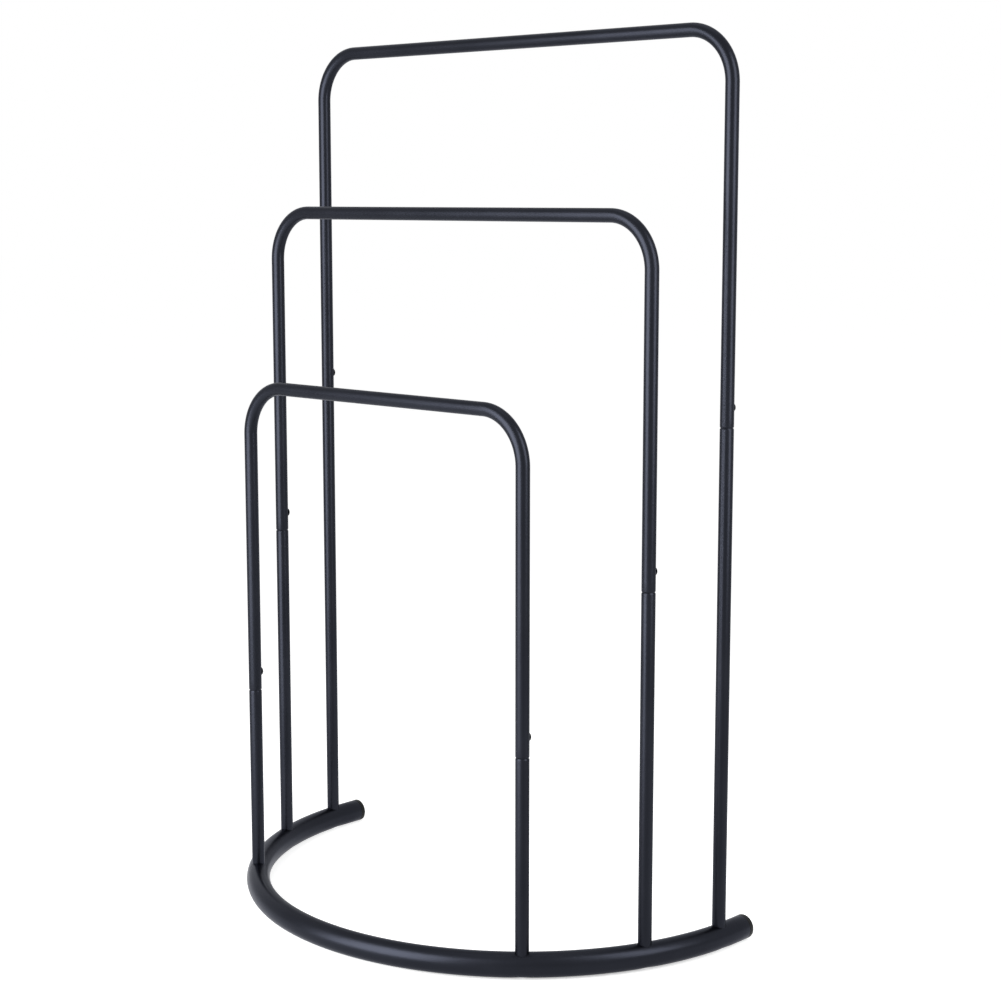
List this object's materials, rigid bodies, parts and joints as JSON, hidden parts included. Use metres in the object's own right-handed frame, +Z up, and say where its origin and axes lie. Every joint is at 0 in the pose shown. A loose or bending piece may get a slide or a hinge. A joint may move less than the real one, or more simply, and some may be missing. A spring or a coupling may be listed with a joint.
{
  "type": "towel stand",
  "caption": "Freestanding towel stand: a half-circle tube on the floor carries round-cornered tube hoops of rising height, one behind another, whose tops are rails.",
  "frame": {"origin": "on the floor, in the middle of the stand's width and depth", "axes": "+X along the rails, +Y towards the tall hoop at the rear, +Z up"},
  "size_m": [0.6134, 0.3294, 0.926],
  "materials": {
    "powder_coat": "satin anthracite powder coat",
    "cap_plastic": "black, lightly textured",
    "black_steel": "black oxide",
    "zinc_steel": "zinc plated"
  },
  "bodies": {
    "root": {"base_tube": "powder_coat", "end_cap_left": "cap_plastic", "end_cap_right": "cap_plastic", "short_hoop": "powder_coat", "short_lower_leg_left": "powder_coat", "short_spigot_left": "zinc_steel", "short_joint_screw_left": "black_steel", "short_foot_insert_left": "zinc_steel", "short_foot_screw_left": "zinc_steel", "short_lower_leg_right": "powder_coat", "short_spigot_right": "zinc_steel", "short_joint_screw_right": "black_steel", "short_foot_insert_right": "zinc_steel", "short_foot_screw_right": "zinc_steel", "middle_hoop": "powder_coat", "middle_lower_leg_left": "powder_coat", "middle_spigot_left": "zinc_steel", "middle_joint_screw_left": "black_steel", "middle_foot_insert_left": "zinc_steel", "middle_foot_screw_left": "zinc_steel", "middle_lower_leg_right": "powder_coat", "middle_spigot_right": "zinc_steel", "middle_joint_screw_right": "black_steel", "middle_foot_insert_right": "zinc_steel", "middle_foot_screw_right": "zinc_steel", "tall_hoop": "powder_coat", "tall_lower_leg_left": "powder_coat", "tall_spigot_left": "zinc_steel", "tall_joint_screw_left": "black_steel", "tall_foot_insert_left": "zinc_steel", "tall_foot_screw_left": "zinc_steel", "tall_lower_leg_right": "powder_coat", "tall_spigot_right": "zinc_steel", "tall_joint_screw_right": "black_steel", "tall_foot_insert_right": "zinc_steel", "tall_foot_screw_right": "zinc_steel"}
  },
  "joints": []
}
